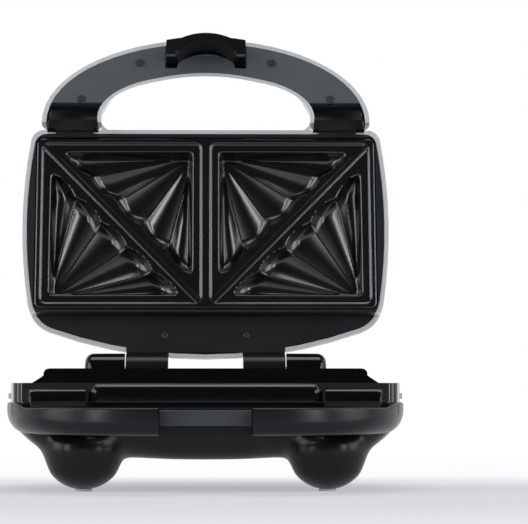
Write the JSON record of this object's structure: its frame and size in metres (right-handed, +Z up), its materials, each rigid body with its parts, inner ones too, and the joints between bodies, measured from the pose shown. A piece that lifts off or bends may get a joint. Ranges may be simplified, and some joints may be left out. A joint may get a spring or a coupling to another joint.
{
  "type": "sandwich toaster",
  "caption": "Electric sandwich toaster with a hinged lid standing open, fluted triangular non-stick pockets, a front handle and a latch.",
  "frame": {"origin": "middle of the open toaster's box, at the height of the foot pads' undersides", "axes": "+X to the right as seen from the handle, +Y to the rear where the hinge is, +Z up from the table"},
  "size_m": [0.2516, 0.2936, 0.3076],
  "materials": {
    "housing_black": "matte",
    "frame_black": "satin",
    "liner_grey": "satin",
    "cover_slate": "matte",
    "lid_silver": "satin",
    "latch_black": "satin",
    "gland_black": "matte",
    "trim_silver": "satin",
    "plate_coating": "glossy non-stick coating",
    "element_steel": "satin",
    "reflector_sheet": "bright",
    "screw_steel": "satin",
    "pin_steel": "polished",
    "spring_steel": "satin",
    "pad_white": "matte",
    "thermostat_ceramic": "matte",
    "fuse_ceramic": "matte",
    "block_ivory": "satin",
    "lamp_red": "translucent",
    "lamp_green": "translucent",
    "board_green": "satin"
  },
  "bodies": {
    "base": {"lower_housing": "housing_black", "base_frame": "frame_black", "lower_handle_cover": "housing_black", "lower_plate": "plate_coating", "lower_element": "element_steel", "lower_reflector": "reflector_sheet", "thermostat": "thermostat_ceramic", "thermal_fuse": "fuse_ceramic", "terminal_block": "block_ivory", "foot_pads": "pad_white", "housing_screws": "screw_steel", "lower_plate_screws": "screw_steel", "side_trims": "trim_silver", "hinge_pins": "pin_steel", "cord_gland": "gland_black"},
    "lid": {"lid_shell": "lid_silver", "lid_frame": "liner_grey", "handle_cover": "cover_slate", "handle_screws": "screw_steel", "frame_screws": "screw_steel", "upper_plate": "plate_coating", "upper_element": "element_steel", "upper_reflector": "reflector_sheet", "upper_plate_screws": "screw_steel", "power_lamp": "lamp_red", "ready_lamp": "lamp_green", "lamp_board": "board_green", "latch_pin": "pin_steel", "latch_spring": "spring_steel"},
    "latch": {"latch": "latch_black"}
  },
  "joints": [
    {"name": "lid_hinge", "type": "hinge", "parent": "base", "child": "lid", "pos_m": [0, 0.0842, 0.075], "axis": [1, 0, 0], "range_deg": [0, 105]},
    {"name": "latch_pivot", "type": "hinge", "parent": "lid", "child": "latch", "pos_m": [0, 0.12871, 0.29135], "axis": [-1, 0, 0], "range_deg": [0, 12], "stiffness_Nm_per_rad": 0.1, "springref_deg": -17.19}
  ]
}
